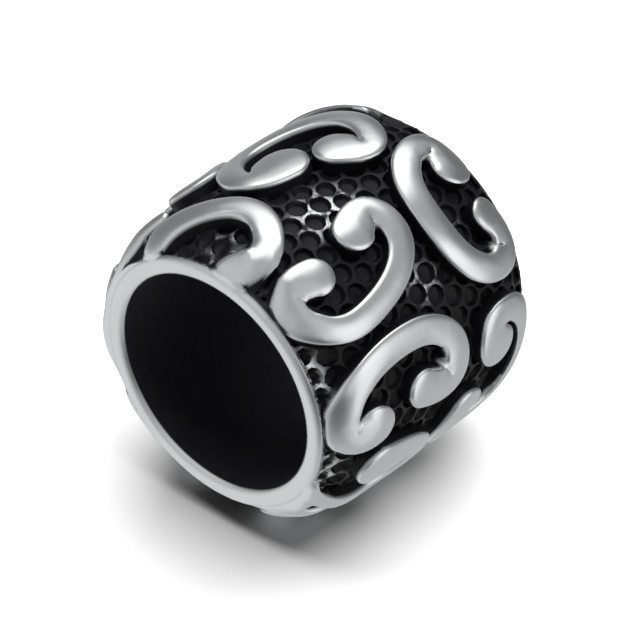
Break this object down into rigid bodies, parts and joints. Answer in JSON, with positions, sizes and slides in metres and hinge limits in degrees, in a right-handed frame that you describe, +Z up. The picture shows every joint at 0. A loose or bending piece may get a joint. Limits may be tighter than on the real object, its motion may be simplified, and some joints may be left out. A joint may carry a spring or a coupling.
{
  "type": "dreadlock bead",
  "caption": "Cast steel barrel bead with a wide smooth bore, raised C-scrolls over a dark pitted ground and two plain rims, lying on its side.",
  "frame": {"origin": "point on the floor under the middle of the bead, where it rests on its side", "axes": "+Y along the bore, away from the opening that the picture shows; +X across the bead; +Z up"},
  "size_m": [0.0116, 0.0104, 0.0116],
  "materials": {
    "steel": "polished scrolls and rims over a blackened, pitted ground; blackened bore"
  },
  "bodies": {
    "root": {"bead": "steel"}
  },
  "joints": []
}
